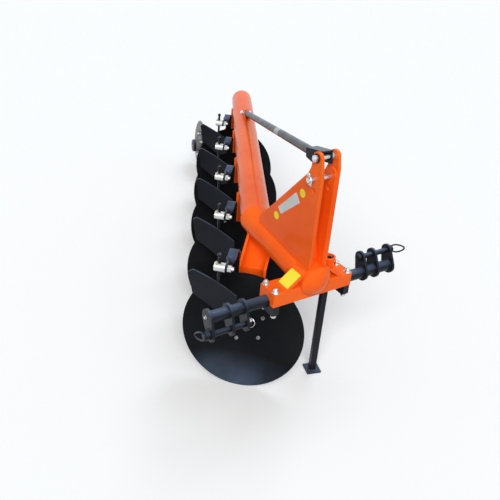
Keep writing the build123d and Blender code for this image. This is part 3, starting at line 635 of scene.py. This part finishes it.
# ---- weld beads
bpy.context.view_layer.update()
TO_WORLD = WORLD.to_3x3()
OFF = 0.6                   # how far a bead's middle line stands off the wall it follows
HIGH, WIDE = 1500, 300      # where rays from above and from the side start


def struck(node, point, direction):
    """The millimetre point where a ray meets a CAD node, or None."""
    way = (TO_WORLD @ Vector(direction)).normalized()
    hit, place = nodes[node].ray_cast(WORLD @ Vector(point), way)[:2]
    return WORLD.inverted() @ place if hit else None


def runs(points):
    """Splits a list with gaps, marked by None, into its unbroken runs of 3 points or more."""
    found, run = [], []
    for p in points + [None]:
        if p is not None:
            run.append(p)
            continue
        if len(run) > 2:
            found.append(run)
        run = []
    return found


def seams(shape, line, radius):
    """A bead along each unbroken run of a line."""
    for run in runs(line):
        shape.weld(HERE, run, radius)


seam_black, seam_orange, seam_stand = Shape(), Shape(), Shape()

# the hitch plates round the shaft, but not outside the last one
for side in (-1, 1):
    for x in PLATES:
        for rim in (-1, 1):
            if x == PLATES[-1] and rim == 1:
                continue
            at = axes((side * (x + rim * PLATE_T / 2), 0, SHAFT_Z), (1, 0, 0))
            seam_black.weld(at, ring_path(SHAFT_R + 0.8), 3.6, True)

# the beam's cap, the tower plates on the beam, and the braces on the bar and the beam
seam_orange.weld(axes(TUBE_FRONT, FRONT_DIR), ring_path(TUBE_R, 72), 2.6, True)
for side, node in ((-1, "tower_right_plate"), (1, "tower_left_plate")):
    line = []
    for i in range(150):
        p = tube_hit((side * (TOWER_OUT + OFF), TOWER_FRONT + 4 * i, HIGH), (0, 0, -1))
        wall = p and struck(node, (side * WIDE, p.y, p.z + 8), (-side, 0, 0))
        line.append(p if wall and abs(abs(wall.x) - TOWER_OUT) < 3 else None)
    seams(seam_orange, line, 3.8)
    for x, z in ((BRACE_FOOT[0] + 0.6, BAR_TOP + 0.4), (BRACE_HEAD[0] - 1.0, BRACE_HEAD[1] + 1.5)):
        seam_orange.weld(HERE, [(side * x, BRACE_FRONT, z), (side * x, BRACE_REAR, z)], 3.4)
    rise = [tube_hit((side * WIDE, y, BAR_TOP + OFF), (-side, 0, 0)) for y in range(27, 60, 3)]
    seams(seam_orange, rise, 4.0)
seam_orange.weld(axes((LEG_X, LEG_Y, BAR_TOP)), ring_path(SOCKET_R + 0.5), 3.2, True)

# each standard round its head under the beam and round its bearing housing. The first one slopes.
for k in range(DISC_COUNT):
    line = []
    place = unit(k)
    for i in range(46):
        t = math.pi * i / 45
        x, y = (SHIN_R + OFF) * math.cos(t), (SHIN_R + OFF) * math.sin(t)
        if k:
            at, way = Vector((x, SHIN_Y + y, 400)), Vector((0, 0, 1))
        else:
            knee = Vector((0, SHIN_Y, KNEE_Z))
            way = (HEAD - knee).normalized()
            at = axes(knee, way, (1, 0, 0)) @ Vector((x, y, 0))
        line.append(tube_hit(place @ at, place.to_3x3() @ way))
    seams(seam_orange, line, 4.2)
    seam_orange.weld(face(k) @ axes((0, 0, -206)), ring_path(HOUSE_R + OFF, 60), 3.2, True)

# the stay's lugs on the beam, and the beam's end on its sleeve
stay_run = STAY_REAR - STAY_ROOT
stay_run.z = 0
stay_run.normalize()
for side in (-1, 1):
    line = []
    for i in range(40):
        spot = STAY_REAR + STAY_ACROSS * side * (LUG_OUT + OFF) + stay_run * (-120 + 6 * i)
        p = tube_hit((spot.x, spot.y, HIGH), (0, 0, -1))
        wall = p and struck("stay_lugs", p + Vector((0, 0, 8)) + STAY_ACROSS * side * 60,
                            -STAY_ACROSS * side)
        line.append(p if wall and (wall - p).length < 12 else None)
    seams(seam_orange, line, 3.2)
    edge = TUBE_END + ASIDE_DIR * side * 22.4 + REAR_DIR
    seam_orange.weld(HERE, [(edge.x, edge.y, 716), (edge.x, edge.y, 841)], 3.6)

# the stand's leg on its foot
leg_at = axes((LEG_X, LEG_Y, FOOT_T), (0, 0, 1), (math.cos(LEG_TURN), math.sin(LEG_TURN), 0))
leg_wall = (-LEG_SIDE / 2 - 0.5, LEG_SIDE / 2 + 0.5)
seam_stand.weld(leg_at, [(x, y, 0) for x, y in rectangle(leg_wall, leg_wall, 4)], 2.6, True)

seam_black.add("hitch_welds", black, "plough_frame", "paint_black", 60)
seam_orange.add("frame_welds", orange_weld, "plough_frame", "paint_orange", 60)
seam_stand.add("stand_weld", black, "stand_body", "paint_black", 60)

# ---- camera, floor and light


def stage_nodes(owner, kind):
    """Clears a node tree and gives it an output and a mask of the rays that see plain white."""
    owner.use_nodes = True
    tree = owner.node_tree
    tree.nodes.clear()
    out, path = tree.nodes.new(kind), tree.nodes.new("ShaderNodeLightPath")
    seen = path.outputs["Is Camera Ray"]
    for ray in ("Is Glossy Ray", "Is Transmission Ray"):
        either = tree.nodes.new("ShaderNodeMath")
        either.operation = "MAXIMUM"
        tree.links.new(seen, either.inputs[0])
        tree.links.new(path.outputs[ray], either.inputs[1])
        seen = either.outputs[0]
    blend = tree.nodes.new("ShaderNodeMixShader")
    tree.links.new(seen, blend.inputs["Fac"])
    tree.links.new(blend.outputs[0], out.inputs["Surface"])
    return tree, blend


scene = bpy.context.scene
scene.view_settings.view_transform = "Standard"
cam_data = bpy.data.cameras.new("camera")
cam_data.sensor_width = 36.0
cam_data.lens = FOCAL_PX / FRAME_PX * 36.0
cam_data.clip_end = 100.0
cam = bpy.data.objects.new("camera", cam_data)
scene.collection.objects.link(cam)
forward = Vector((math.sin(YAW) * math.cos(PITCH), math.cos(YAW) * math.cos(PITCH), -math.sin(PITCH)))
level = Vector((math.cos(YAW), -math.sin(YAW), 0.0))
cam.matrix_world = (Matrix.Translation(WORLD @ EYE) @ axes((0, 0, 0), -forward, level)
                    @ Matrix.Rotation(ROLL, 4, "Z"))
scene.camera = cam

world = bpy.data.worlds.new("studio")
scene.world = world
tree, blend = stage_nodes(world, "ShaderNodeOutputWorld")
for socket, colour, strength in ((1, WORLD_COLOUR, WORLD_LIGHT), (2, (1, 1, 1), 1.0)):
    sky = tree.nodes.new("ShaderNodeBackground")
    sky.inputs["Color"].default_value = (*colour, 1)
    sky.inputs["Strength"].default_value = strength
    tree.links.new(sky.outputs[0], blend.inputs[socket])

floor_mesh = bpy.data.meshes.new("floor")
bm = bmesh.new()
bmesh.ops.create_grid(bm, x_segments=2, y_segments=2, size=FLOOR_HALF)
bm.to_mesh(floor_mesh)
bm.free()
floor = bpy.data.objects.new("floor", floor_mesh)
scene.collection.objects.link(floor)
floor_mat = bpy.data.materials.new("floor_white")
tree, blend = stage_nodes(floor_mat, "ShaderNodeOutputMaterial")
for socket, shade in ((1, FLOOR_SHADE), (2, FLOOR_SEEN)):
    matt = tree.nodes.new("ShaderNodeBsdfDiffuse")
    matt.inputs["Color"].default_value = (shade, shade, shade, 1)
    tree.links.new(matt.outputs[0], blend.inputs[socket])
floor_mesh.materials.append(floor_mat)

for name, (strength, width, source, colour) in SUNS.items():
    lamp_data = bpy.data.lights.new(name, "SUN")
    lamp_data.energy, lamp_data.angle, lamp_data.color = strength, math.radians(width), colour
    lamp = bpy.data.objects.new(name, lamp_data)
    scene.collection.objects.link(lamp)
    lamp.rotation_euler = Vector(source).to_track_quat("Z", "Y").to_euler()
